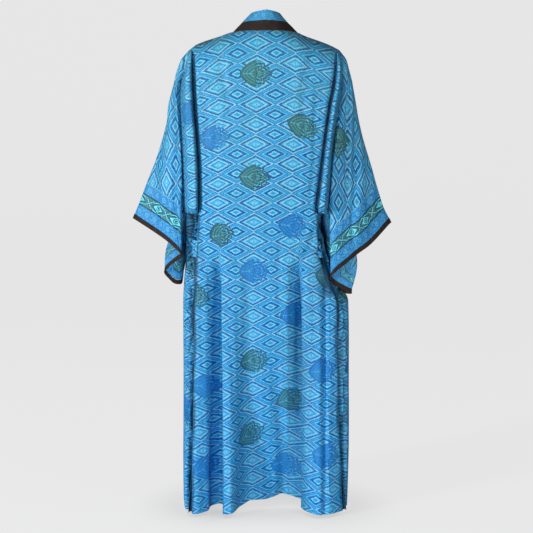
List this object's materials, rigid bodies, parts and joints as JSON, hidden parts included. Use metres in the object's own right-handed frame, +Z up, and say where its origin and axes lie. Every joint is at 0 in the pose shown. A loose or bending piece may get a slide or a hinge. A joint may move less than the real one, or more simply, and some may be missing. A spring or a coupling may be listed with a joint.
{
  "type": "long kimono jacket in its worn form",
  "caption": "Long kimono jacket in its hollow worn form, with wide square sleeves, a standing neckband, side slits and a tied belt under a free-hanging back.",
  "frame": {"origin": "in the middle of the neck, level with the back neck seam, where the wearer's shoulders hold the garment", "axes": "+Z up, +Y the way the wearer looks, so the back of the garment faces -Y, and +X to the wearer's right"},
  "size_m": [0.7014, 0.2807, 1.3375],
  "materials": {
    "print": "soft sheen, printed",
    "border": "soft sheen, printed",
    "binding": "matt, plain weave"
  },
  "bodies": {
    "root": {"back_panel": "print", "front_left": "print", "front_right": "print", "sleeve_left": "print", "sleeve_right": "print", "cuff_binding_left": "binding", "cuff_binding_right": "binding", "neckband_trim": "binding", "neckband": "border", "belt": "print", "belt_knot": "print", "belt_end_left": "print", "belt_end_right": "print"}
  },
  "joints": []
}
